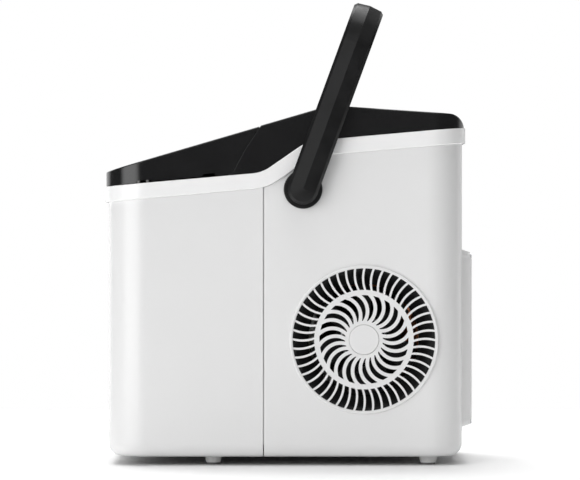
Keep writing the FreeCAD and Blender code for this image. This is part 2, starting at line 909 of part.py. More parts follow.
def lid_knuckles():
    """Hinge eyes under the lid's upper edge, each with a tongue and a root in the lid."""
    x_low, x_high = knuckle_range()
    low = -hinge_depth - knuckle_radius
    high = -lid_step - hinge_skin
    hub = hinge_line(x_low, x_high, knuckle_radius)
    root = plan_prism(rectangle(x_low, x_high, -hinge_root_length, hinge_behind_seam), low, high)
    root = on_slope(root).common(cap_block(lid_side(hinge_inner_skin), hinge_inner_skin, 0))
    tongue = on_slope(plan_prism(rectangle(x_low, x_high, -hinge_tongue_start, hinge_behind_seam), low, high))
    return both_sides(fuse([hub, tongue, root]))


def make_lid():
    shell = cap_block(lid_side(0), 0, top_edge_radius)
    shell = shell.cut(cap_block(lid_side(cover_wall), cover_wall, 0))
    shell = shell.common(over_band_line(-lid_bottom_gap))
    wide = half_width + beyond
    notch_start = front_y + finger_notch_from_front
    notch_end = notch_start + finger_notch_length
    recess_start = notch_end - finger_recess_length / 2
    for rise, start, end in ((bumper_recess_height, notch_start, notch_start + bumper_recess_length),
                             (finger_notch_height, notch_start, notch_end),
                             (finger_recess_height, recess_start, recess_start + finger_recess_length)):
        notch = under_band_line(-lid_bottom_gap - rise)
        shell = shell.cut(notch.common(box(-wide, wide, start, end, 0, cut_height)))

    low = -(seam_top[0] - lid_front_y) / math.cos(math.radians(lid_slope)) + window_behind_front
    high = low + window_length
    opening = window_outline(low, high, 0)
    frame_low = -lid_step - cover_wall
    shell = shell.cut(on_slope(plan_prism(opening, -slope_cut, slope_cut)))
    pane_seat = on_slope(plan_prism(window_outline(low, high, window_rabbet), frame_low + window_ledge,
                                    slope_cut))
    rim = plan_prism(window_outline(low, high, window_rabbet + window_rim_width),
                     frame_low - window_rim_thickness,
                     frame_low + window_rim_overlap)
    rim = rim.cut(plan_prism(opening, -slope_cut, slope_cut))
    shell = fuse([shell.cut(pane_seat), on_slope(rim)]).cut(pane_seat)
    shell = fuse([shell] + lid_knuckles())
    parts["lid_frame"] = shell.cut(hinge_line(-half_width, half_width, hinge_pin_radius + hinge_clearance))
    pane = window_outline(low, high, window_rabbet - fit_gap / 2)
    parts["lid_window"] = on_slope(plan_prism(pane, frame_low + window_ledge, frame_low + cover_wall))


def panel_recess(gap):
    shape = rectangle(-panel_half_width - gap, panel_half_width + gap, panel_start - gap,
                      panel_start + panel_length + gap, panel_corner_radius + gap)
    return on_slope(plan_prism(shape, -panel_thickness, slope_cut))


def button_places():
    middle = panel_start + panel_length / 2
    return {"power_button": (-button_offset, middle), "select_button": (button_offset, middle)}


def lens_places():
    middle = panel_start + panel_length / 2
    first = -lens_pitch * (lens_count - 1) / 2
    return [(first + index * lens_pitch, middle) for index in range(lens_count)]


def slope_bore(radius, x, along):
    """Round cut through the sloping top."""
    return on_slope(cylinder(radius, 2 * slope_cut, Vector(x, along, -slope_cut), Vector(0, 0, 1)))


def hinge_blocks():
    """Blocks under the cover that hold the hinge pins on either side of each knuckle."""
    x_low, x_high = knuckle_range(knuckle_side_gap)
    room_end = hinge_behind_seam + knuckle_radius + hinge_room
    end = room_end + hinge_block_back
    low = -hinge_depth - knuckle_radius - hinge_block_foot
    blocks = []
    for start in (x_low - hinge_block_width, x_high):
        blocks += both_sides(box(start, start + hinge_block_width, hinge_block_start, end, low, -hinge_skin))
    blocks += both_sides(box(x_low - hinge_block_width, x_high + hinge_block_width, room_end, end, low,
                             -hinge_skin))
    notch = box(x_low, x_high, -hinge_notch_front, room_end, low - overcut, slope_cut)
    return blocks, both_sides(notch)


def make_cover():
    shell = cap_block(cover_side(0), 0, top_edge_radius)
    shell = shell.cut(cap_block(cover_side(cover_wall), cover_wall, 0))
    shell = shell.common(over_band_line(0))
    floor_half = panel_half_width + panel_floor_margin
    floor_outline = rectangle(-floor_half, floor_half, panel_start - panel_floor_margin,
                              panel_start + panel_length + panel_floor_margin, panel_floor_radius)
    floor = plan_prism(floor_outline, -panel_thickness - cover_wall, -skin_overlap)
    blocks, notches = hinge_blocks()
    inside = cap_block(cover_side(hinge_inner_skin), hinge_inner_skin, 0)
    added = [on_slope(shape).common(inside) for shape in [floor] + blocks]
    shell = fuse([shell] + added)
    cuts = [on_slope(shape) for shape in notches]
    cuts.append(panel_recess(fit_gap / 2))
    cuts.append(hinge_line(-half_width, half_width, hinge_pin_radius))
    cuts += [slope_bore(button_radius + button_gap, x, along) for x, along in button_places().values()]
    cuts += [slope_bore(lens_radius, x, along) for x, along in lens_places()]
    shell = shell.cut(cuts)
    parts["top_cover"] = max(shell.Solids, key=lambda solid: solid.Volume)
    x_low, x_high = knuckle_range(knuckle_side_gap + hinge_block_width - hinge_pin_end_gap)
    parts["lid_hinge_pins"] = Part.makeCompound(both_sides(hinge_line(x_low, x_high, hinge_pin_radius)))


def make_controls():
    shape = rectangle(-panel_half_width, panel_half_width, panel_start, panel_start + panel_length,
                      panel_corner_radius)
    overlay = on_slope(plan_prism(shape, -panel_thickness, 0))
    holes = [slope_bore(button_radius + button_gap, x, along) for x, along in button_places().values()]
    lenses = []
    for x, along in lens_places():
        holes.append(slope_bore(lens_radius, x, along))
        lens = cylinder(lens_radius, lens_length, Vector(x, along, lens_proud - lens_length), Vector(0, 0, 1))
        lenses.append(on_slope(lens))
    parts["control_panel"] = overlay.cut(holes)
    parts["indicator_lenses"] = Part.makeCompound(lenses)
    for name, (x, along) in button_places().items():
        button = cylinder(button_radius, button_height + button_rise, Vector(x, along, -button_height),
                          Vector(0, 0, 1))
        button = rounded_edges(button, button_edge_radius, lambda middle, edge: middle.z > button_rise - 0.1)
        parts[name] = on_slope(button)
    half = panel_half_width - board_inset
    board_top = -board_depth + board_thickness
    board = box(-half, half, panel_start + board_inset, panel_start + panel_length - board_inset,
                -board_depth,
                board_top)
    switches = []
    for x, along in button_places().values():
        switches.append(box(x - switch_half, x + switch_half, along - switch_half, along + switch_half,
                            board_top,
                            -button_height - button_travel - switch_gap))
    chip_x, chip_y, chip_z = chip_size
    middle = panel_start + panel_length / 2
    chip = box(-chip_x / 2, chip_x / 2, middle - chip_y / 2, middle + chip_y / 2, board_top,
               board_top + chip_z)
    parts["control_board"] = on_slope(fuse([board, chip] + switches))


# ---- Carry handle ----

def handle_section():
    """Half sections share this: (across, out) points from the inner face to the ridge."""
    half = handle_width / 2
    edge = handle_thickness - handle_facet_drop
    return [(0, 0), (half - handle_inner_bevel, 0), (half, handle_inner_bevel), (half,
                                                                                 edge - handle_edge_bevel),
            (half - handle_edge_bevel, edge), (0, handle_thickness)]


def place_handle(shape):
    turn = FreeCAD.Rotation(Vector(1, 0, 0), -handle_rest_tilt)
    return shape.transformed(FreeCAD.Placement(Vector(0, pivot_y, pivot_z), turn).toMatrix(), True)


def make_handle():
    half_points = handle_section()
    ring = half_points + [(-u, v) for u, v in half_points[-2:0:-1]]
    section = [Vector(arm_inner_x + v, u, 0) for u, v in ring]
    profile = Part.makePolygon(section + [section[0]])
    inner_bend = handle_outer_bend - handle_thickness
    inner_top = handle_reach - handle_thickness
    bend_start = inner_top - inner_bend
    turn = math.sqrt(0.5)
    x_in = arm_inner_x - inner_bend
    edges = [
        Part.LineSegment(Vector(arm_inner_x, 0, 0), Vector(arm_inner_x, 0, bend_start)).toShape(),
        Part.Arc(Vector(arm_inner_x, 0, bend_start),
                 Vector(x_in + inner_bend * turn, 0, bend_start + inner_bend * turn),
                 Vector(x_in, 0, inner_top)).toShape(),
        Part.LineSegment(Vector(x_in, 0, inner_top), Vector(-x_in, 0, inner_top)).toShape(),
        Part.Arc(Vector(-x_in, 0, inner_top),
                 Vector(-x_in - inner_bend * turn, 0, bend_start + inner_bend * turn),
                 Vector(-arm_inner_x, 0, bend_start)).toShape(),
        Part.LineSegment(Vector(-arm_inner_x, 0, bend_start), Vector(-arm_inner_x, 0, 0)).toShape(),
    ]
    bail = Part.Wire(edges).makePipeShell([profile], True, False)
    half_face = [Vector(arm_inner_x + v, u, 0) for u, v in half_points]
    face = Part.Face(Part.makePolygon(half_face + [half_face[0]]))
    end = face.revolve(Vector(0, 0, 0), Vector(1, 0, 0), -180)
    handle = fuse([bail] + both_sides(end))
    parts["carry_handle"] = place_handle(handle)
    pin = cylinder(pivot_pin_radius, arm_inner_x - pin_inner_x(), Vector(pin_inner_x(), 0, 0), Vector(1, 0,
                                                                                                      0))
    parts["handle_pivot_pins"] = place_handle(Part.makeCompound(both_sides(pin)))
    washer = cylinder(pivot_washer_radius, pivot_washer_thickness,
                      Vector(pin_inner_x() - pivot_washer_thickness, 0, 0), Vector(1, 0, 0))
    stud = cylinder(screw_head_radius, screw_head_height,
                    Vector(pin_inner_x() - pivot_washer_thickness - screw_head_height, 0, 0), Vector(1, 0, 0))
    parts["handle_retainers"] = place_handle(Part.makeCompound(both_sides(fuse([washer, stud]))))


def pin_inner_x():
    return half_width - wall - pivot_pin_inside


def make_pivot_discs():
    length = arm_inner_x - pivot_disc_gap - half_width
    disc = cylinder(pivot_disc_radius, length, Vector(half_width, pivot_y, pivot_z), Vector(1, 0, 0))
    disc = rounded_edges(disc, pivot_disc_edge_radius, lambda middle,
                         edge: middle.x > half_width + 1 and edge.BoundBox.XLength < 0.01)
    disc = disc.cut(pivot_bores(pivot_pin_radius + pivot_clearance))
    parts["handle_pivot_discs"] = Part.makeCompound(both_sides(disc))


# ---- Side grille and rear vent panel ----

def grille_point(radius, angle):
    x = half_width - wall
    return Vector(x, grille_y + radius * math.cos(angle), grille_height + radius * math.sin(angle))


def slot_solid(corners):
    """Slot from four three-point sides given as (start, middle, end) points."""
    edges = [Part.Arc(*side).toShape() for side in corners]
    face = Part.Face(Part.Wire(Part.__sortEdges__(edges)))
    return face.extrude(Vector(beyond, 0, 0)).translate(Vector(-overcut, 0, 0))


def outer_slot(index):
    pitch = 2 * math.pi / outer_slot_count
    radii = (outer_slot_start, (outer_slot_start + outer_slot_end) / 2, outer_slot_end)
    leans = [math.radians(lean) for lean in outer_vane_lean]
    first = [index * pitch + lean + outer_vane / 2 / radius for radius, lean in zip(radii, leans)]
    last = [(index + 1) * pitch + lean - outer_vane / 2 / radius for radius, lean in zip(radii, leans)]
    near = [grille_point(radius, angle) for radius, angle in zip(radii, first)]
    far = [grille_point(radius, angle) for radius, angle in zip(radii, last)]
    rim = grille_point(outer_slot_end, (first[2] + last[2]) / 2)
    hub = grille_point(outer_slot_start, (first[0] + last[0]) / 2)
    return slot_solid([near, (near[2], rim, far[2]), far[::-1], (far[0], hub, near[0])])


def vane_angle(side_radius, ring_radius):
    """Angle where a vane's side, an arc about its own centre, meets a ring of the grille."""
    u, v = inner_vane_centre
    reach = math.hypot(u, v)
    cosine = (ring_radius ** 2 + reach ** 2 - side_radius ** 2) / (2 * ring_radius * reach)
    return math.atan2(v, u) - math.acos(cosine)


def inner_slot(index):
    pitch = 2 * math.pi / inner_slot_count
    radii = (inner_slot_start, (inner_slot_start + inner_slot_end) / 2, inner_slot_end)
    first = [index * pitch + vane_angle(inner_vane_bend - inner_vane / 2, radius) for radius in radii]
    last = [(index + 1) * pitch + vane_angle(inner_vane_bend + inner_vane / 2, radius) for radius in radii]
    near = [grille_point(radius, angle) for radius, angle in zip(radii, first)]
    far = [grille_point(radius, angle) for radius, angle in zip(radii, last)]
    rim = grille_point(inner_slot_end, (first[2] + last[2]) / 2)
    hub = grille_point(inner_slot_start, (first[0] + last[0]) / 2)
    return slot_solid([near, (near[2], rim, far[2]), far[::-1], (far[0], hub, near[0])])


def make_grille():
    centre = Vector(half_width - wall, grille_y, grille_height)
    across = Vector(1, 0, 0)
    body = cylinder(grille_body_radius, grille_thickness, centre, across)
    rim_start = Vector(half_width, grille_y, grille_height)
    rim = cylinder(grille_rim_radius, grille_rim_proud, rim_start, across)
    rim = rounded_edges(rim, grille_rim_round, lambda middle,
                        edge: middle.x > half_width + 1 and edge.BoundBox.XLength < 0.01)
    rim = rim.cut(cylinder(grille_rim_radius - grille_rim_width, grille_rim_proud, rim_start, across))
    face_x = half_width - wall + grille_thickness
    cap_start = Vector(face_x - centre_cap_depth, grille_y, grille_height)
    slots = [outer_slot(index) for index in range(outer_slot_count)]
    slots += [inner_slot(index) for index in range(inner_slot_count)]
    seat = cylinder(centre_cap_seat, centre_cap_depth + 1, cap_start, across)
    parts["side_grille"] = fuse([body, rim]).cut(slots + [seat])
    cap = cylinder(centre_cap_radius, centre_cap_depth, cap_start, across)
    parts["grille_centre_cap"] = rounded_edges(cap, centre_cap_edge_radius,
                                              lambda middle, edge: middle.x > face_x - 0.1)


def panel_block(inset, depth):
    """Drafted block behind the rear wall."""
    half = rear_panel_width / 2 - inset
    low = rear_panel_bottom + inset
    high = rear_panel_bottom + rear_panel_height - inset
    shrink = depth * math.tan(math.radians(rear_panel_draft))
    corner = rear_panel_corner - inset / 2
    base = outline(rectangle(-half, half, low, high, corner), lambda x, z: Vector(x, rear_y, z))
    top = outline(rectangle(-half + shrink, half - shrink, low + shrink, high - shrink, corner - shrink / 2),
                  lambda x, z: Vector(x, rear_y + depth, z))
    return Part.makeLoft([base, top], True, True)


def make_rear_panel():
    outer = panel_block(0, rear_panel_depth)
    floor_y = rear_y + rear_panel_depth
    outer = rounded_edges(outer, rear_panel_edge_radius, lambda middle, edge: middle.y > floor_y - 0.01)
    inner = panel_block(rear_panel_wall, rear_panel_depth - rear_panel_wall)
    shell = outer.cut(inner.fuse(inner.translated(Vector(0, -skin_overlap, 0))))
    middle_z = rear_panel_bottom + rear_panel_height / 2
    first = middle_z - rear_slot_pitch * (rear_slot_rows - 1) / 2
    half = rear_slot_height / 2
    cuts = []
    for row in range(rear_slot_rows):
        z = first + row * rear_slot_pitch
        for low in (-rear_slot_spine / 2 - rear_slot_length, rear_slot_spine / 2):
            corners = rectangle(low, low + rear_slot_length, z - half, z + half, half * rear_slot_roundness)
            wire = outline(corners, lambda x, height: Vector(x, rear_y, height))
            cuts.append(Part.Face(wire).extrude(Vector(0, beyond, 0)))
    head_y = floor_y - panel_screw_sink
    head_radius = screw_head_radius - panel_screw_head_gap
    back = Vector(0, 1, 0)
    screws = []
    bosses = []
    for x, z in panel_screw_points():
        cuts.append(cylinder(screw_radius, beyond, Vector(x, rear_y - overcut, z), back))
        cuts.append(cylinder(head_radius, beyond, Vector(x, head_y, z), back))
        bosses.append(cylinder(screw_head_radius, rear_panel_depth - panel_boss_gap, Vector(x, rear_y, z),
                               back))
        shank_start = rear_y - panel_screw_reach
        shank = cylinder(screw_radius, head_y - shank_start, Vector(x, shank_start, z), back)
        head = cylinder(head_radius, panel_screw_head, Vector(x, head_y, z), back)
        screws.append(fuse([shank, head]))
    parts["rear_vent_panel"] = fuse([shell] + bosses).cut(cuts)
    parts["rear_panel_screws"] = Part.makeCompound(screws)


# ---- Tub, insulation, basket, scoop ----

def tub_block(grow, low, high):
    radius = tub_corner_radius + grow
    return plan_prism(rectangle(-tub_half - grow, tub_half + grow, tub_front - grow, tub_rear + grow, radius),
                      low, high)


def make_tub():
    outer = tub_block(0, tub_floor_height, cut_height)
    inner = tub_block(-tub_wall, tub_floor_height + tub_wall, cut_height + overcut)
    below_deck = under_band_line(deck_below_band)
    deck = plan_prism(footprint(-band_inset - fit_gap), 0, cut_height)
    deck = deck.common(below_deck).common(over_band_line(deck_below_band + deck_thickness))
    wide = half_width + beyond
    deck = deck.common(box(-wide, wide, front_y - beyond, tub_rear, 0, cut_height))
    walls = outer.common(below_deck)
    ledges = []
    x_in = tub_half - tub_wall - ledge_size
    for y in (basket_front + ledge_from_end, basket_front + basket_length - ledge_from_end - ledge_size):
        ledge = box(x_in, tub_half - tub_wall / 2, y, y + ledge_size, basket_bottom - ledge_thickness,
                    basket_bottom)
        ledges += both_sides(ledge)
    tub = fuse([walls.cut(inner), deck.cut(inner)] + ledges)
    cuts = [hose_bore(hose_radius + fit_gap), pipe_bores()]
    cuts.append(cylinder(drain_bore_radius, tub_wall + 2 * overcut, Vector(-tub_half - overcut, drain_y,
                                                                           drain_height),
                         Vector(1, 0, 0)))
    parts["tub"] = tub.cut(cuts)


def hose_bore(radius):
    return cylinder(radius, beyond, Vector(hose_x(), tub_rear - beyond / 2, hose_exit_z()), Vector(0, 1, 0))


def hose_x():
    return evaporator_plate_half_length


def hose_exit_z():
    return tray_axis_height + bridge_above_axis + bridge_thickness + hose_radius + hose_above_bridge


def pipe_exit_z():
    bridge_top = tray_axis_height + bridge_above_axis + bridge_thickness
    return bridge_top + evaporator_tube_radius + pipe_above_bridge


def pipe_bores():
    bores = []
    for x in evaporator_tube_places:
        start = Vector(x, tub_rear - beyond / 2, pipe_exit_z())
        bores.append(cylinder(evaporator_tube_radius + pipe_bore_gap, beyond, start, Vector(0, 1, 0)))
    return Part.makeCompound(bores)


def make_insulation():
    inset = wall + seam_strip_thickness + fit_gap
    low = foot_height + bottom_edge_radius + insulation_above_base
    block = plan_prism(footprint(-inset), low, cut_height)
    wide = half_width + beyond
    block = block.common(box(-wide, wide, front_y - beyond, tub_rear + fit_gap + insulation_rear, 0,
                             cut_height))
    block = block.common(under_band_line(deck_below_band + deck_thickness + band_height))
    block = block.cut([tub_block(fit_gap, low - overcut, cut_height), hose_bore(hose_radius + fit_gap),
                       pipe_bores()])
    reach = pivot_washer_radius + pivot_pocket
    pocket = box(tub_half + fit_gap, wide, pivot_y - reach, pivot_y + reach, pivot_z - reach, cut_height)
    block = block.cut(both_sides(pocket))
    across = Vector(1, 0, 0)
    drain_room = cylinder(drain_radius + fit_gap, beyond, Vector(-half_width, drain_y, drain_height), across)
    fan_room = cylinder(shroud_mouth_radius + shroud_pocket_gap, beyond,
                        Vector(shroud_ring_end() - overcut, grille_y, grille_height), across)
    block = block.cut([drain_room, fan_room])
    parts["tub_insulation"] = max(block.Solids, key=lambda solid: solid.Volume)


def basket_block(grow, low, high):
    half = tub_half - tub_wall - basket_side_gap + grow
    corners = rectangle(-half, half, basket_front - grow, basket_front + basket_length + grow,
                        basket_corner_radius + grow)
    return plan_prism(corners, low, high)


def make_basket():
    top = basket_bottom + basket_height
    shell = basket_block(0, basket_bottom, top)
    shell = shell.cut(basket_block(-basket_wall, basket_bottom + basket_wall, top + overcut))
    rim_low = top - basket_rim_height
    rim = basket_block(basket_rim_width, rim_low, top)
    rim = rim.cut(basket_block(-basket_wall, rim_low - overcut, top + overcut))
    shell = fuse([shell, rim])
    half = tub_half - tub_wall - basket_side_gap
    rear = basket_front + basket_length
    slots = []
    count = int(2 * (half - basket_corner_radius - basket_slot_end_margin) / basket_slot_pitch)
    first = -(count - 1) * basket_slot_pitch / 2
    for index in range(count):
        x = first + index * basket_slot_pitch
        low_x, high_x = x - basket_slot_width / 2, x + basket_slot_width / 2
        slots.append(box(low_x, high_x, basket_front - overcut, rear + overcut,
                         basket_bottom + basket_slot_above_floor, top - basket_slot_below_top))
        slots.append(box(low_x, high_x, basket_front + basket_floor_slot_inset,
                         rear - basket_floor_slot_inset,
                         basket_bottom - overcut, basket_bottom + basket_wall + overcut))
    parts["ice_basket"] = shell.cut(slots)


def make_scoop():
    x_low = -scoop_length - scoop_from_middle
    x_high = x_low + scoop_length
    y = basket_front + basket_length / 2
    z = basket_bottom + basket_wall + scoop_gap
    half = scoop_width / 2
    bowl = plan_prism(rectangle(x_low, x_high, y - half, y + half, scoop_corner_radius), z, z + scoop_depth)
    inner = rectangle(x_low - 2 * scoop_corner_radius, x_high - scoop_wall, y - half + scoop_wall,
                      y + half - scoop_wall, scoop_corner_radius - scoop_wall)
    hollow = plan_prism(inner, z + scoop_wall, z + scoop_depth + overcut)
    grip_z = z + scoop_depth - scoop_grip_radius - scoop_grip_drop
    grip = cylinder(scoop_grip_radius, scoop_grip_length, Vector(x_high - scoop_wall / 2, y, grip_z),
                    Vector(1, 0, 0))
    far_end = x_high + scoop_grip_length / 2
    grip = rounded_edges(grip, scoop_grip_end_radius,
                         lambda middle, edge: middle.x > far_end and edge.BoundBox.XLength < 0.01)
    parts["ice_scoop"] = fuse([bowl.cut(hollow), grip])


# ---- Ice-making parts ----

def make_tray():
    across = Vector(1, 0, 0)
    start = Vector(-tray_half_length, tray_y, tray_axis_height)
    outer = cylinder(tray_inner_radius + tray_wall, 2 * tray_half_length, start, across)
    inner = cylinder(tray_inner_radius, 2 * tray_half_length - 2 * tray_wall,
                     Vector(-tray_half_length + tray_wall, tray_y, tray_axis_height), across)
    reach = tray_inner_radius + tray_wall + overcut
    lower = box(-half_width, half_width, tray_y - reach, tray_y + reach, tray_axis_height - reach,
                tray_axis_height)
    trough = outer.cut(inner).common(lower)
    hubs = []
    hub = cylinder(tray_hub_radius, tray_wall, Vector(tray_half_length - tray_wall, tray_y, tray_axis_height),
                   across)
    shaft = cylinder(tray_shaft_radius, tray_shaft_length, Vector(tray_half_length, tray_y,
                                                                  tray_axis_height), across)
    hubs += both_sides(fuse([hub, shaft]))
    parts["water_tray"] = fuse([trough] + hubs)


def make_bridge():
    top = tray_axis_height + bridge_above_axis + bridge_thickness
    bottom = top - bridge_thickness
    rear = tub_rear - tub_wall
    outer_x = cheek_from_middle + cheek_thickness
    front = tray_y - bridge_reach
    plate = box(-outer_x, outer_x, front, rear, bottom, top)
    cheek = box(cheek_from_middle, outer_x, front, rear - overcut, tray_axis_height - cheek_below_axis,
                bottom + skin_overlap)
    shaft_end = tray_half_length + tray_shaft_length + overcut
    bore = cylinder(tray_shaft_radius + shaft_clearance, 2 * shaft_end,
                    Vector(-shaft_end, tray_y, tray_axis_height), Vector(1, 0, 0))
    plate_top = tray_axis_height + evaporator_plate_rise + evaporator_plate_thickness
    post_y = tray_y - 2 * bridge_post_size
    post = box(bridge_post_from_middle, bridge_post_from_middle + bridge_post_size, post_y,
               post_y + bridge_post_size, plate_top, bottom + skin_overlap)
    through = bridge_thickness + 2 * overcut
    cuts = [bore]
    cuts.append(cylinder(hose_radius + pour_hole_gap, through,
                         Vector(hose_x(), tray_y + pour_behind_axis, bottom - overcut), Vector(0, 0, 1)))
    for x in evaporator_tube_places:
        cuts.append(cylinder(evaporator_tube_radius + pipe_bore_gap, through,
                             Vector(x, tray_y - pipe_ahead_of_axis, bottom - overcut), Vector(0, 0, 1)))
    parts["evaporator_bridge"] = fuse([plate] + both_sides(cheek) + both_sides(post)).cut(cuts)
    size_x, size_y, size_z = tray_motor_size
    motor_x = -outer_x - size_x
    motor = box(motor_x, -outer_x, tray_y - size_y / 2, tray_y + size_y / 2, tray_axis_height - size_z / 2,
                tray_axis_height + size_z / 2)
    boss = cylinder(tray_motor_boss_radius, tray_motor_boss_length,
                    Vector(motor_x - tray_motor_boss_length, tray_y, tray_axis_height), Vector(1, 0, 0))
    parts["tray_motor"] = fuse([motor, boss]).cut(bore)


def make_evaporator():
    plate_low = tray_axis_height + evaporator_plate_rise
    half = evaporator_plate_half_width
    length = evaporator_plate_half_length
    plate_top = plate_low + evaporator_plate_thickness
    plate = box(-length, length, tray_y - half, tray_y + half, plate_low, plate_top)
    tip = plate_low - finger_length
    fingers = []
    for index in range(finger_count):
        row = -1 if index % 2 == 0 else 1
        x = (index - (finger_count - 1) / 2) * finger_pitch
        finger = cylinder(finger_radius, finger_length, Vector(x, tray_y + row * finger_row_offset, tip),
                          Vector(0, 0, 1))
        fingers.append(rounded_edges(finger, finger_end_radius, lambda middle, edge: middle.z < tip + 0.1))
    parts["evaporator"] = fuse([plate] + fingers)
    tube_y = tray_y - pipe_ahead_of_axis
    lane = pipe_exit_z()
    pipes = []
    for x in evaporator_tube_places:
        points = [(x, tube_lane_y(), lane), (x, tube_y, lane), (x, tube_y, plate_top)]
        pipes.append(bent_tube(points, evaporator_tube_radius, evaporator_tube_bend))
    parts["evaporator_pipes"] = Part.makeCompound(pipes)


def tube_lane_y():
    return tub_rear + insulation_rear + tube_lane_behind_tub


def make_sensors():
    depth, width, height = sensor_size
    x = tub_half - tub_wall
    y = basket_front + (basket_length - width) / 2
    z = basket_bottom + basket_height + sensor_above_basket
    sensor = box(x - depth, x, y, y + width, z, z + height)
    parts["ice_full_sensors"] = Part.makeCompound(both_sides(sensor))
    float_y = tub_rear - tub_wall - float_from_rear
    floor_z = tub_floor_height + tub_wall
    up = Vector(0, 0, 1)
    stem = cylinder(float_stem_radius, float_stem_length, Vector(-float_from_middle, float_y, floor_z), up)
    body = cylinder(float_radius, float_height, Vector(-float_from_middle, float_y,
                                                       floor_z + float_above_floor), up)
    parts["water_level_sensor"] = fuse([stem, body])


# ---- Cooling circuit ----

def compressor_base_z():
    return base_top + compressor_foot_height


def compressor_top():
    return compressor_base_z() + compressor_height


def stub_places():
    """Discharge and suction stubs on top of the compressor."""
    x = -compressor_from_middle
    across, along = stub_from_axis
    return (x - across, compressor_y - along), (x + across, compressor_y + along)


def make_compressor():
    x = -compressor_from_middle
    base = compressor_base_z()
    top = base + compressor_height
    up = Vector(0, 0, 1)
    can = cylinder(compressor_radius, compressor_height, Vector(x, compressor_y, base), up)
    can = rounded_edges(can, compressor_dome_radius, lambda middle, edge: middle.z > top - 0.1)
    can = rounded_edges(can, compressor_base_radius, lambda middle, edge: middle.z < base + 0.1)
    plate = plan_prism(rectangle(x - compressor_radius, x + compressor_radius,
                                 compressor_y - compressor_radius,
                                 compressor_y + compressor_radius, compressor_plate_radius), base,
                       base + compressor_plate_thickness)
    belt = cylinder(compressor_radius + compressor_belt_proud, compressor_belt_height,
                    Vector(x, compressor_y, base + compressor_height / 2), up)
    stubs = [cylinder(stub_radius, stub_length + stub_root, Vector(stub_x, stub_y, top - stub_root), up)
             for stub_x, stub_y in stub_places()]
    parts["compressor"] = fuse([can, plate, belt] + stubs)
    span = compressor_radius - grommet_inset
    grommets = [cylinder(grommet_radius, compressor_foot_height, Vector(x + dx, compressor_y + dy,
                                                                        base_top), up)
                for dx in (-span, span) for dy in (-span, span)]
    parts["compressor_grommets"] = Part.makeCompound(grommets)
    depth, width, height = terminal_cover_size
    start = x + compressor_radius + compressor_belt_proud
    cover = box(start, start + depth, compressor_y - width / 2, compressor_y + width / 2,
                base + terminal_cover_height, base + terminal_cover_height + height)
    cover = rounded_edges(cover, terminal_cover_radius, lambda middle, edge: middle.x > start + depth - 0.1)
    parts["compressor_terminal_cover"] = cover


def condenser_low_y():
    return rear_y - wall - condenser_gap - condenser_thickness


def make_condenser():
    half = rear_panel_width / 2 - rear_panel_opening_inset
    low = rear_panel_bottom + rear_panel_opening_inset
    high = rear_panel_bottom + rear_panel_height - rear_panel_opening_inset
    y_low = condenser_low_y()
    y_high = y_low + condenser_thickness
    pass_gap = (high - low) / condenser_tube_pass_count
    heights = [low + pass_gap * (index + 0.5) for index in range(condenser_tube_pass_count)]
    middle_y = (y_low + y_high) / 2
    bores = [cylinder(condenser_tube_radius, 2 * (half + overcut), Vector(-half - overcut, middle_y, z),
                      Vector(1, 0, 0)) for z in heights]
    fins = []
    count = int(2 * (half - condenser_end_inset) / condenser_fin_pitch)
    for index in range(count + 1):
        x = -half + condenser_end_inset + index * condenser_fin_pitch
        fins.append(box(x, x + condenser_fin_thickness, y_low, y_high, low, high))
    rails = [box(-half, half, y_low, y_high, low - condenser_rail, low),
             box(-half, half, y_low, y_high, high, high + condenser_rail)]
    parts["condenser_fins"] = fuse(rails + fins).cut(bores)
    reach = half + condenser_return
    points = [(-reach - condenser_end_reach, middle_y, heights[0])]
    side = 1
    for z, next_z in zip(heights, heights[1:]):
        points += [(side * reach, middle_y, z), (side * reach, middle_y, next_z)]
        side = -side
    points.append((side * (reach + condenser_end_reach), middle_y, heights[-1]))
    parts["condenser_tube"] = bent_tube(points, condenser_tube_radius, condenser_tube_bend)
    return points[0], points[-1]


def make_tubes(inlet, outlet):
    top = compressor_top() + stub_length
    (x_discharge, y_discharge), (x_suction, y_suction) = stub_places()
    lane = pipe_exit_z()
    left, right = evaporator_tube_places
    rear = tube_lane_y()
    points = [
        (x_suction, y_suction, top),
        (x_suction, y_suction, lane),
        (left, y_suction, lane),
        (left, rear, lane)]
    parts["suction_tube"] = bent_tube(points, tube_radius, tube_bend)
    lane_out = outlet[2] + discharge_above_condenser
    side_x = outlet[0] + math.copysign(discharge_side_step, outlet[0])
    points = [
        (x_discharge, y_discharge, top),
        (x_discharge, y_discharge, lane_out),
        (side_x, y_discharge, lane_out),
        (side_x, outlet[1], lane_out),
        (side_x, outlet[1], outlet[2]),
        outlet]
    parts["discharge_tube"] = bent_tube(points, tube_radius, tube_bend)
    make_drier(inlet, rear, lane, right)
    make_hot_gas_valve(x_discharge, rear, lane)


def make_drier(inlet, rear, lane, evaporator_x):
    drier_x, drier_y, drier_low = drier_place()
    body = cylinder(drier_radius, drier_length, Vector(drier_x, drier_y, drier_low), Vector(0, 0, 1))
    parts["filter_drier"] = rounded_edges(body, drier_end_radius, lambda middle,
                                          edge: edge.BoundBox.ZLength < 0.01)
    side_x = inlet[0] - liquid_side_step
    drop_z = inlet[2] - liquid_drop
    points = [inlet, (side_x, inlet[1], inlet[2]), (side_x, inlet[1], drop_z), (drier_x, inlet[1], drop_z),
              (drier_x, drier_y, drop_z), (drier_x, drier_y, drier_low)]
    parts["liquid_tube"] = bent_tube(points, tube_radius, tube_bend)
    back = rear + capillary_behind_lane
    points = [(drier_x, drier_y, drier_low + drier_length), (drier_x, drier_y, lane), (drier_x, back, lane),
              (evaporator_x + tube_radius, back, lane)]
    parts["capillary_tube"] = bent_tube(points, capillary_radius, tube_bend)


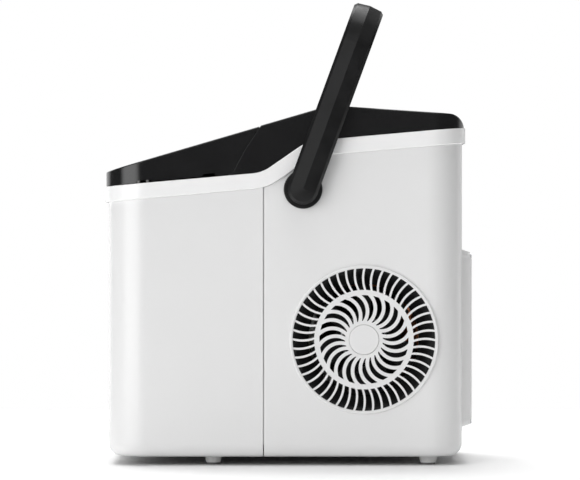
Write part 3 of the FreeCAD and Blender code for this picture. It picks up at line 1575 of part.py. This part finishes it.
def make_hot_gas_valve(x_discharge, rear, lane):
    valve_x, valve_y, valve_z = valve_place()
    size_x, size_y, size_z = valve_size
    block = box(valve_x - size_x / 2, valve_x + size_x / 2, valve_y - size_y / 2, valve_y + size_y / 2,
                valve_z,
                valve_z + size_z / 2)
    coil_start = Vector(valve_x, valve_y, valve_z + size_z / 2)
    coil = cylinder(valve_coil_radius, size_z / 2, coil_start, Vector(0, 0, 1))
    parts["hot_gas_valve"] = fuse([block, coil])
    points = [(valve_x, valve_y, valve_z + size_z), (valve_x, valve_y, lane), (valve_x, rear, lane)]
    branch = bent_tube(points, tube_radius, hot_gas_bend)
    feed_start = x_discharge + tube_radius
    feed = cylinder(hot_gas_feed_radius, valve_x - size_x / 2 - feed_start,
                    Vector(feed_start, valve_y, valve_z + size_z / 4), Vector(1, 0, 0))
    parts["hot_gas_tubes"] = Part.makeCompound([branch, feed])


def drier_place():
    return drier_from_middle, condenser_low_y() - drier_radius - drier_gap, grille_height - drier_below_fan


def valve_place():
    return evaporator_tube_places[1], stub_places()[0][1], compressor_top() + valve_above_compressor


# ---- Fan and pump ----

def fan_start_x():
    return half_width - wall - fan_inside_grille - fan_depth


def shroud_ring_end():
    return fan_start_x() + fan_depth - shroud_short_of_fan


def make_fan():
    across = Vector(1, 0, 0)
    start = fan_start_x()
    hub = cylinder(fan_hub_radius, fan_depth, Vector(start, grille_y, grille_height), across)
    hub = rounded_edges(hub, fan_hub_edge_radius, lambda middle, edge: middle.x > start + fan_depth - 0.1)
    blades = []
    for index in range(fan_blade_count):
        blade = box(-fan_blade_thickness / 2, fan_blade_thickness / 2, -fan_blade_width / 2,
                    fan_blade_width / 2,
                    fan_hub_radius - fan_blade_root, fan_radius)
        blade.rotate(Vector(0, 0, 0), Vector(0, 0, 1), fan_blade_pitch)
        blade.rotate(Vector(0, 0, 0), Vector(1, 0, 0), 360.0 / fan_blade_count * index)
        blades.append(blade.translate(Vector(start + fan_depth / 2, grille_y, grille_height)))
    shaft = cylinder(fan_shaft_radius, fan_shaft_reach + skin_overlap,
                     Vector(start - fan_shaft_reach, grille_y, grille_height), across)
    parts["fan_rotor"] = fuse([hub, shaft] + blades)
    can_start = Vector(start - fan_motor_gap - fan_motor_length, grille_y, grille_height)
    can = cylinder(fan_motor_radius, fan_motor_length, can_start, across)
    can = rounded_edges(can, fan_motor_edge_radius, lambda middle, edge: edge.BoundBox.XLength < 0.01)
    room = cylinder(fan_shaft_radius + shaft_clearance, fan_shaft_room,
                    Vector(start - fan_shaft_room, grille_y, grille_height), across)
    parts["fan_motor"] = can.cut(room)
    make_shroud(start, across)


def make_shroud(start, across):
    """Ring round the fan that opens into a wide mouth behind the grille, with arms to the motor."""
    ring_in = fan_radius + shroud_gap
    ring_out = ring_in + shroud_wall
    low = start - shroud_rear_reach
    mouth_x = half_width - wall - shroud_mouth_gap
    end = shroud_ring_end()
    centre = Vector(low, grille_y, grille_height)
    flare = Vector(end, grille_y, grille_height)
    outer = cylinder(ring_out, end - low, centre, across)
    outer = fuse([outer, Part.makeCone(ring_out, shroud_mouth_radius, mouth_x - end, flare, across)])
    inner = cylinder(ring_in, end - low, centre, across)
    inner = fuse([inner, Part.makeCone(ring_in, shroud_mouth_radius - shroud_wall, mouth_x - end, flare,
                                       across)])
    collar = cylinder(fan_motor_radius + shroud_collar, shroud_arm_depth, centre, across)
    arms = []
    for index in range(shroud_arm_count):
        arm = box(low, low + shroud_arm_depth, -shroud_arm_width / 2, shroud_arm_width / 2, fan_motor_radius,
                  ring_in + shroud_wall / 2)
        arm.rotate(Vector(0, 0, 0), Vector(1, 0, 0), 360.0 / shroud_arm_count * index)
        arms.append(arm.translate(Vector(0, grille_y, grille_height)))
    frame = fuse([outer.cut(inner), collar] + arms)
    bore = cylinder(fan_motor_radius + fan_motor_fit, shroud_arm_depth + 2 * overcut,
                    Vector(low - overcut, grille_y, grille_height), across)
    parts["fan_shroud"] = frame.cut(bore)


def pump_place():
    return half_width - pump_from_side, tub_rear + insulation_rear + pump_radius + pump_gap


def make_pump():
    x, y = pump_place()
    up = Vector(0, 0, 1)
    low = base_top + pump_above_base
    top = low + pump_height
    chamber_low = low + pump_floor
    body = cylinder(pump_radius, pump_height, Vector(x, y, low), up)
    inlet = cylinder(pump_inlet_radius, pump_inlet_length,
                     Vector(x, y - pump_radius - pump_inlet_reach, low + pump_inlet_height), Vector(0, 1, 0))
    outlet = cylinder(hose_radius - hose_wall, pump_outlet_length, Vector(x - pump_outlet_offset, y, top), up)
    chamber = cylinder(pump_chamber_radius, pump_chamber_height, Vector(x, y, chamber_low), up)
    parts["pump_body"] = fuse([body, inlet, outlet]).cut(chamber)
    blade_low = chamber_low + impeller_gap
    blade_height = pump_chamber_height - 2 * impeller_gap
    half = impeller_blade_thickness / 2
    blades = []
    for index in range(impeller_blade_count):
        blade = box(impeller_blade_root, impeller_radius, -half, half, 0, blade_height)
        blade.rotate(Vector(0, 0, 0), up, 360.0 / impeller_blade_count * index)
        blades.append(blade.translate(Vector(x, y, blade_low)))
    hub = cylinder(impeller_hub_radius, blade_height, Vector(x, y, blade_low), up)
    parts["pump_impeller"] = fuse([hub] + blades)
    make_hose(x - pump_outlet_offset, y, top + pump_outlet_length)


def make_hose(x, y, low):
    """Fill hose from the pump's outlet up behind the tub and over to the water tray."""
    lane = hose_exit_z()
    wall_y = tub_rear + insulation_rear + hose_from_insulation
    pour_y = tray_y + pour_behind_axis
    points = [(x, y, low), (x, y, low + hose_first_rise), (hose_x(), wall_y, low + hose_second_rise),
              (hose_x(), wall_y, lane), (hose_x(), pour_y, lane), (hose_x(), pour_y, lane - hose_end_drop)]
    parts["fill_hose"] = bent_tube(points, hose_radius - hose_wall, hose_bend)


# ---- Drain, power and sensors ----

def make_drain():
    across = Vector(1, 0, 0)
    neck_end = -half_width + wall + drain_neck_gap
    neck = cylinder(drain_radius, -tub_half - neck_end, Vector(neck_end, drain_y, drain_height), across)
    bore = cylinder(drain_bore_radius, beyond, Vector(neck_end - overcut, drain_y, drain_height), across)
    parts["drain_tube"] = neck.cut(bore)
    cap = cylinder(drain_cap_radius, drain_cap_thickness,
                   Vector(-half_width - drain_cap_thickness, drain_y, drain_height), across)
    cap = rounded_edges(cap, drain_cap_edge_radius,
                        lambda middle, edge: middle.x < -half_width - 1 and edge.BoundBox.XLength < 0.01)
    plug_radius = drain_bore_radius - drain_plug_gap
    groove_bottom = plug_radius - drain_groove_depth
    stem = cylinder(plug_radius, drain_plug_length + skin_overlap,
                    Vector(-half_width - skin_overlap, drain_y, drain_height), across)
    groove_start = Vector(neck_end + drain_groove_from_neck, drain_y, drain_height)
    groove = cylinder(plug_radius + overcut, drain_groove_width, groove_start, across)
    groove = groove.cut(cylinder(groove_bottom, drain_groove_width, groove_start, across))
    parts["drain_plug"] = fuse([cap, stem]).cut(groove)
    seal_start = groove_start + Vector(drain_seal_gap, 0, 0)
    seal_width = drain_groove_width - 2 * drain_seal_gap
    ring = cylinder(plug_radius + drain_seal_proud, seal_width, seal_start, across)
    parts["drain_seal"] = ring.cut(cylinder(groove_bottom, seal_width, seal_start, across))


def make_power():
    x = -half_width + wall + seam_strip_thickness + power_board_gap
    low = compressor_top() + power_board_above_compressor
    face = x + board_thickness
    board = box(x, face, compressor_y - power_board_half_width, compressor_y + power_board_half_width, low,
                low + power_board_height)
    blocks = []
    for size, middle in zip((relay_size, terminal_size), power_part_from_middle):
        depth, width, height = size
        y = compressor_y + middle
        z = low + power_part_height
        blocks.append(box(face, face + depth, y - width / 2, y + width / 2, z, z + height))
    parts["power_board"] = fuse([board] + blocks)
    back = Vector(0, 1, 0)
    start = rear_y - wall - gland_inside
    body = cylinder(gland_radius - gland_fit, rear_y - start, Vector(-gland_from_middle, start,
                                                                     gland_height), back)
    head = cylinder(gland_radius + gland_flange, gland_flange_thickness,
                    Vector(-gland_from_middle, rear_y, gland_height), back)
    nose_y = rear_y + gland_flange_thickness
    nose = Part.makeCone(gland_radius, gland_radius - gland_nose_taper, gland_nose_length,
                         Vector(-gland_from_middle, nose_y, gland_height), back)
    bore = cylinder(gland_bore_radius, beyond, Vector(-gland_from_middle, rear_y - beyond / 2,
                                                      gland_height), back)
    parts["mains_cord_gland"] = fuse([body, head, nose]).cut(bore)


def make_bumpers():
    bumpers = []
    first = front_y + finger_notch_from_front + bumper_radius + bumper_from_notch
    for y in (first, first + bumper_spacing):
        z = band_top_z(y) + bumper_gap
        x = half_width + cover_side_proud - cover_wall / 2
        bumper = cylinder(bumper_radius, lid_bottom_gap + bumper_recess_height - bumper_gap, Vector(x, y, z),
                          Vector(0, 0, 1))
        bumper = bumper.common(under_band_line(-lid_bottom_gap - bumper_recess_height))
        bumpers += both_sides(bumper)
    parts["lid_bumpers"] = Part.makeCompound(bumpers)


make_housings()
make_base()
make_feet()
make_band()
make_lid()
make_cover()
make_controls()
make_handle()
make_pivot_discs()
make_grille()
make_rear_panel()
make_tub()
make_insulation()
make_basket()
make_scoop()
make_tray()
make_bridge()
make_evaporator()
make_sensors()
make_compressor()
condenser_inlet, condenser_outlet = make_condenser()
make_tubes(condenser_inlet, condenser_outlet)
make_fan()
make_pump()
make_drain()
make_power()
make_bumpers()

for name, shape in parts.items():
    shape.exportStep("parts/" + name + ".step")
    solids = len(shape.Solids)
    print(name, "solids", solids, "volume", round(shape.Volume), "valid", shape.isValid())
print(len(parts), "nodes")
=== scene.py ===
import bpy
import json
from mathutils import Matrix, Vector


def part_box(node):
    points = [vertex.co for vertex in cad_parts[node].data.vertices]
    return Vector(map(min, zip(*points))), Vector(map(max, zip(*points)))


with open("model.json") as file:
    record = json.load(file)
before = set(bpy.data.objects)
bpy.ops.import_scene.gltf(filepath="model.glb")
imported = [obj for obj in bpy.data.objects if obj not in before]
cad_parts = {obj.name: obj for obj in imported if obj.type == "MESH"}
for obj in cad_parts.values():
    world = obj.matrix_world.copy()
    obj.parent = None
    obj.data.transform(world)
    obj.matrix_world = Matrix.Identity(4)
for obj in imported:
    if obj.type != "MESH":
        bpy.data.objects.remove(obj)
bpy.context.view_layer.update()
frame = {"nodes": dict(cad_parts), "record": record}

import json
import math

import bmesh
import bpy
from mathutils import Vector

mm = 0.001
reliefDepth = 0.05 * mm
fineReliefDepth = 0.02 * mm
noiseLow, noiseHigh = 0.3, 0.7        # most of a noise field lies between these


def toLinear(hexColour):
    values = [int(hexColour[i:i + 2], 16) / 255 for i in (1, 3, 5)]
    return [v / 12.92 if v <= 0.04045 else ((v + 0.055) / 1.055) ** 2.4 for v in values] + [1.0]


def addNode(tree, kind, settings=None, links=None):
    # settings name either a property or an input socket; links name input sockets
    node = tree.nodes.new(kind)
    for name, value in (settings or {}).items():
        if isinstance(name, int) or name in node.inputs:
            node.inputs[name].default_value = value
        else:
            setattr(node, name, value)
    for name, source in (links or {}).items():
        tree.links.new(source, node.inputs[name])
    return node


def startMaterial(name, shader):
    material = bpy.data.materials.new(name)
    material.use_nodes = True
    tree = material.node_tree
    tree.nodes.clear()
    out = tree.nodes.new("ShaderNodeOutputMaterial")
    surface = addNode(tree, "ShaderNodeBsdfPrincipled", shader)
    tree.links.new(surface.outputs[0], out.inputs[0])
    place = tree.nodes.new("ShaderNodeTexCoord").outputs["Object"]
    return material, tree, surface, place


def noiseField(tree, place, sizeMm, detail=2.0, rough=0.5):
    # soft random field whose blotches are about sizeMm across
    return addNode(tree, "ShaderNodeTexNoise", {"Scale": 1000 / sizeMm, "Detail": detail, "Roughness": rough},
                   {"Vector": place}).outputs[0]


def remap(tree, value, low, high, outLow, outHigh):
    return addNode(tree, "ShaderNodeMapRange", {1: low, 2: high, 3: outLow, 4: outHigh}, {0: value}).outputs[0]


def mouldedPlastic(name, look):
    # injection-moulded thermoplastic: the tool's polish or spark texture shows as a fine relief,
    # cooling leaves a slow waviness in the gloss, and handling leaves faint changes of roughness
    material, tree, surface, place = startMaterial(name, {
        "IOR": look.get("ior", 1.53), "Coat Weight": look.get("coat", 0.0), "Coat Roughness": 0.05})
    base = toLinear(look["colour"])
    low = [channel * (1 - look["shade"]) for channel in base[:3]] + [1.0]
    cloud = noiseField(tree, place, look.get("cloudMm", 38), 3.0)
    tint = addNode(tree, "ShaderNodeMix", {"data_type": "RGBA"}, {0: remap(tree, cloud, noiseLow, noiseHigh, 0, 1)})
    tint.inputs[6].default_value = low
    tint.inputs[7].default_value = base
    tree.links.new(tint.outputs[2], surface.inputs["Base Color"])
    smear = noiseField(tree, place, look.get("smearMm", 16), 4.0, 0.6)
    spread = look["roughness"] * look.get("roughSpread", 0.25)
    gloss = remap(tree, smear, noiseLow, noiseHigh, look["roughness"] - spread, look["roughness"] + spread)
    tree.links.new(gloss, surface.inputs["Roughness"])
    wave = noiseField(tree, place, look.get("waveMm", 5.0), 1.0)
    relief = addNode(tree, "ShaderNodeBump", {"Strength": look.get("waveStrength", 0.05), "Distance": reliefDepth},
                     {"Height": wave})
    if look.get("grainMm"):
        grain = noiseField(tree, place, look["grainMm"], 3.0, 0.65)
        relief = addNode(tree, "ShaderNodeBump", {"Strength": look["grainStrength"], "Distance": reliefDepth},
                         {"Height": grain, "Normal": relief.outputs[0]})
    tree.links.new(relief.outputs[0], surface.inputs["Normal"])
    return material


plasticLooks = {
    "white_shell": ("polishedWhiteAbsShell", {"colour": "#E8E8E8", "shade": 0.006, "roughness": 0.24, "cloudMm": 90,
                                              "smearMm": 45, "roughSpread": 0.06, "waveStrength": 0.02}),
    "white_trim": ("polishedWhiteAbsTrim", {"colour": "#F6F6F6", "shade": 0.004, "roughness": 0.14,
                                             "roughSpread": 0.1}),
    "black_gloss": ("polishedBlackAbsLid", {"colour": "#161617", "shade": 0.1, "roughness": 0.16}),
    "black_satin": ("sparkTexturedBlackAbsHandle", {"colour": "#0D0D0E", "shade": 0.2, "roughness": 0.36, "ior": 1.42,
                                                    "grainMm": 0.5, "grainStrength": 0.35}),
    "panel_gloss": ("backPrintedAcrylicOverlay", {"colour": "#060607", "shade": 0.1, "roughness": 0.08,
                                                  "coat": 0.6}),
    "grey_button": ("softTouchGreyKeys", {"colour": "#5F6163", "shade": 0.06, "roughness": 0.5, "grainMm": 0.4,
                                          "grainStrength": 0.3}),
    "grey_base": ("texturedGreyPolypropyleneBase", {"colour": "#C9C9C8", "shade": 0.05, "roughness": 0.48,
                                                    "grainMm": 0.7, "grainStrength": 0.45}),
    "foot_plastic": ("texturedPaleAbsFeet", {"colour": "#DADAD9", "shade": 0.03, "roughness": 0.4, "grainMm": 0.6,
                                             "grainStrength": 0.3}),
    "liner_plastic": ("polishedPolystyreneLiner", {"colour": "#DDE2E4", "shade": 0.02, "roughness": 0.22}),
    "basket_plastic": ("naturalPolypropyleneBasket", {"colour": "#D5DDE2", "shade": 0.04, "roughness": 0.3}),
    "grey_plastic": ("glassFilledNylonGrey", {"colour": "#8B8E91", "shade": 0.06, "roughness": 0.45, "grainMm": 0.8,
                                              "grainStrength": 0.3}),
    "foam": ("pouredPolyurethaneFoam", {"colour": "#E2D5A4", "shade": 0.12, "roughness": 0.85, "grainMm": 1.2,
                                        "grainStrength": 0.9, "cloudMm": 12}),
    "pad_rubber": ("mouldedGreyRubberPads", {"colour": "#6E6E6D", "shade": 0.08, "roughness": 0.75, "grainMm": 0.5,
                                             "grainStrength": 0.4}),
    "black_rubber": ("mouldedBlackRubber", {"colour": "#1B1B1B", "shade": 0.15, "roughness": 0.7, "grainMm": 0.5,
                                            "grainStrength": 0.4}),
    "silicone": ("extrudedSiliconeTube", {"colour": "#D8D8D4", "shade": 0.04, "roughness": 0.42}),
    "board": ("solderMaskedCircuitBoard", {"colour": "#1F5B36", "shade": 0.25, "roughness": 0.35, "cloudMm": 5}),
    "lens": ("frostedAcrylicLens", {"colour": "#E4EEF2", "shade": 0.02, "roughness": 0.3}),
}


def drawnMetal(name, look):
    # rolled, drawn or plated metal: fine lines left by the die or the rolls, with duller patches where it is handled
    material, tree, surface, place = startMaterial(name, {"Metallic": 1.0})
    base = toLinear(look["colour"])
    dull = [channel * (1 - look["shade"]) for channel in base[:3]] + [1.0]
    cloud = noiseField(tree, place, look.get("cloudMm", 9), 3.0)
    tint = addNode(tree, "ShaderNodeMix", {"data_type": "RGBA"}, {0: remap(tree, cloud, noiseLow, noiseHigh, 0, 1)})
    tint.inputs[6].default_value = dull
    tint.inputs[7].default_value = base
    tree.links.new(tint.outputs[2], surface.inputs["Base Color"])
    stretch = addNode(tree, "ShaderNodeMapping", {"Scale": look.get("stretch", (1, 1, 0.08))}, {"Vector": place})
    lines = noiseField(tree, stretch.outputs[0], look.get("lineMm", 0.4), 2.0)
    gloss = remap(tree, lines, 0.25, 0.75, look["roughness"] * 0.7, look["roughness"] * 1.3)
    tree.links.new(gloss, surface.inputs["Roughness"])
    relief = addNode(tree, "ShaderNodeBump", {"Strength": 0.15, "Distance": fineReliefDepth}, {"Height": lines})
    tree.links.new(relief.outputs[0], surface.inputs["Normal"])
    return material


metalLooks = {
    "steel": ("zincPlatedPressedSteel", {"colour": "#B9BABC", "shade": 0.12, "roughness": 0.32}),
    "nickel": ("nickelPlatedCopperEvaporator", {"colour": "#C9C5BC", "shade": 0.08, "roughness": 0.22}),
    "copper": ("drawnCopperTube", {"colour": "#D98E68", "shade": 0.22, "roughness": 0.28}),
    "aluminium_fins": ("rolledAluminiumFinStock", {"colour": "#CDD0D2", "shade": 0.08, "roughness": 0.3}),
}


def clearPlastic(name, look):
    # see-through moulding: light passes with a tint, and the polished faces keep sharp reflections;
    # the smoked window passes little, so it reads dark
    material, tree, surface, place = startMaterial(name, {
        "Base Color": toLinear(look["colour"]), "Transmission Weight": look["clear"], "IOR": look["ior"]})
    smear = noiseField(tree, place, look["smearMm"], 4.0, 0.6)
    gloss = remap(tree, smear, noiseLow, noiseHigh, look["roughness"] * 0.6, look["roughness"] * 1.5)
    tree.links.new(gloss, surface.inputs["Roughness"])
    wave = noiseField(tree, place, look["waveMm"], 1.0)
    relief = addNode(tree, "ShaderNodeBump", {"Strength": 0.04, "Distance": reliefDepth}, {"Height": wave})
    tree.links.new(relief.outputs[0], surface.inputs["Normal"])
    return material


clearLooks = {
    "smoked_window": ("smokedPolycarbonateWindow", {"colour": "#3A3C40", "clear": 0.3, "ior": 1.58,
                                                    "roughness": 0.05, "smearMm": 18, "waveMm": 7}),
    "scoop_plastic": ("clearBlueStyreneScoop", {"colour": "#A9D3E8", "clear": 0.8, "ior": 1.59,
                                               "roughness": 0.08, "smearMm": 18, "waveMm": 7}),
}

materials = {}
for slotName, (name, look) in plasticLooks.items():
    materials[slotName] = mouldedPlastic(name, look)
for slotName, (name, look) in metalLooks.items():
    materials[slotName] = drawnMetal(name, look)
for slotName, (name, look) in clearLooks.items():
    materials[slotName] = clearPlastic(name, look)
# stoved enamel over pressed steel has the same build: deep gloss with a slight orange peel
enamelLook = {"colour": "#0E0E0F", "shade": 0.2, "roughness": 0.3}
materials["black_paint"] = mouldedPlastic("blackStovedEnamel", enamelLook)

slotOf = {part["node"]: part["material_slot"] for part in frame["record"]["subparts"]}
for node, piece in frame["nodes"].items():
    finish = materials[slotOf[node]]
    piece.data.materials.clear()
    piece.data.materials.append(finish)
print("materials: every sub-part has its finish")

studio = {"floorColour": "#F7F7F7", "floorRoughness": 0.9, "floorGloss": 0.2, "floorSize": 1.7,
          "cameraAway": 3.0, "frameWidth": 0.458, "sensor": 36.0, "aimY": 0.001, "aimZ": 0.1785}

# each glow is a soft-edged bright patch of the studio sky: where it stands, how strong, where its edge starts and ends
skyGlows = {
    "even": {"strength": 0.12},
    "top": {"towards": (0.0, 0.0, 1.0), "strength": 2.7, "starts": 0.88, "full": 0.95},
    "behind": {"towards": (-0.5, -0.12, 0.86), "strength": 4.4, "starts": 0.90, "full": 0.96},
    "key": {"towards": (0.715, -0.685, 0.14), "strength": 2.9, "starts": 0.83, "full": 0.97},
    "frontRim": {"towards": (-0.86, -0.5, 0.1), "strength": 1.1, "starts": 0.87, "full": 0.96},
    "sideFill": {"towards": (0.75, 0.2, 0.6), "strength": 0.4, "starts": 0.75, "full": 0.95},
    "rearRim": {"towards": (-0.75, 0.65, 0.1), "strength": 0.75, "starts": 0.88, "full": 0.96},
}


def makeFloor():
    mesh = bpy.data.meshes.new("floor")
    shape = bmesh.new()
    bmesh.ops.create_grid(shape, x_segments=1, y_segments=1, size=studio["floorSize"] / 2)
    shape.to_mesh(mesh)
    shape.free()
    floor = bpy.data.objects.new("floor", mesh)
    bpy.context.scene.collection.objects.link(floor)
    material = startMaterial("mattePaperFloor", {
        "Base Color": toLinear(studio["floorColour"]), "Roughness": studio["floorRoughness"],
        "Specular IOR Level": studio["floorGloss"]})[0]
    mesh.materials.append(material)


def makeSky():
    # a wrap-round white studio: the camera itself sees plain white, the object is lit by the soft patches
    world = bpy.data.worlds.new("studioSky")
    world.use_nodes = True
    tree = world.node_tree
    tree.nodes.clear()
    way = tree.nodes.new("ShaderNodeTexCoord").outputs["Generated"]
    total = None
    for glow in skyGlows.values():
        if "towards" not in glow:
            total = addNode(tree, "ShaderNodeValue").outputs[0]
            total.default_value = glow["strength"]
            continue
        facing = addNode(tree, "ShaderNodeVectorMath", {"operation": "DOT_PRODUCT"}, {0: way})
        facing.inputs[1].default_value = Vector(glow["towards"]).normalized()
        patch = addNode(tree, "ShaderNodeMapRange", {"interpolation_type": "SMOOTHSTEP", 1: glow["starts"],
                                                     2: glow["full"], 4: glow["strength"]}, {0: facing.outputs[1]})
        total = addNode(tree, "ShaderNodeMath", {"operation": "ADD"}, {0: total, 1: patch.outputs[0]}).outputs[0]
    lit = addNode(tree, "ShaderNodeBackground", None, {"Strength": total})
    seen = addNode(tree, "ShaderNodeBackground", {"Color": (1, 1, 1, 1), "Strength": 1.0})
    lit.inputs["Color"].default_value = (1, 1, 1, 1)
    cameraRay = tree.nodes.new("ShaderNodeLightPath").outputs["Is Camera Ray"]
    both = addNode(tree, "ShaderNodeMixShader", None, {0: cameraRay, 1: lit.outputs[0], 2: seen.outputs[0]})
    addNode(tree, "ShaderNodeOutputWorld", None, {0: both.outputs[0]})
    bpy.context.scene.world = world


def addCamera():
    camera = bpy.data.cameras.new("camera")
    camera.sensor_width = studio["sensor"]
    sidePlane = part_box("front_housing")[1].x
    camera.lens = studio["sensor"] * (studio["cameraAway"] - sidePlane) / studio["frameWidth"]
    camera.clip_end = 120
    viewer = bpy.data.objects.new("camera", camera)
    viewer.location = (studio["cameraAway"], studio["aimY"], studio["aimZ"])
    viewer.rotation_euler = (math.radians(90), 0, math.radians(90))
    bpy.context.scene.collection.objects.link(viewer)
    bpy.context.scene.camera = viewer


makeFloor()
makeSky()
addCamera()
bpy.context.scene.view_settings.view_transform = "Standard"
print("studio: floor, sky and camera")
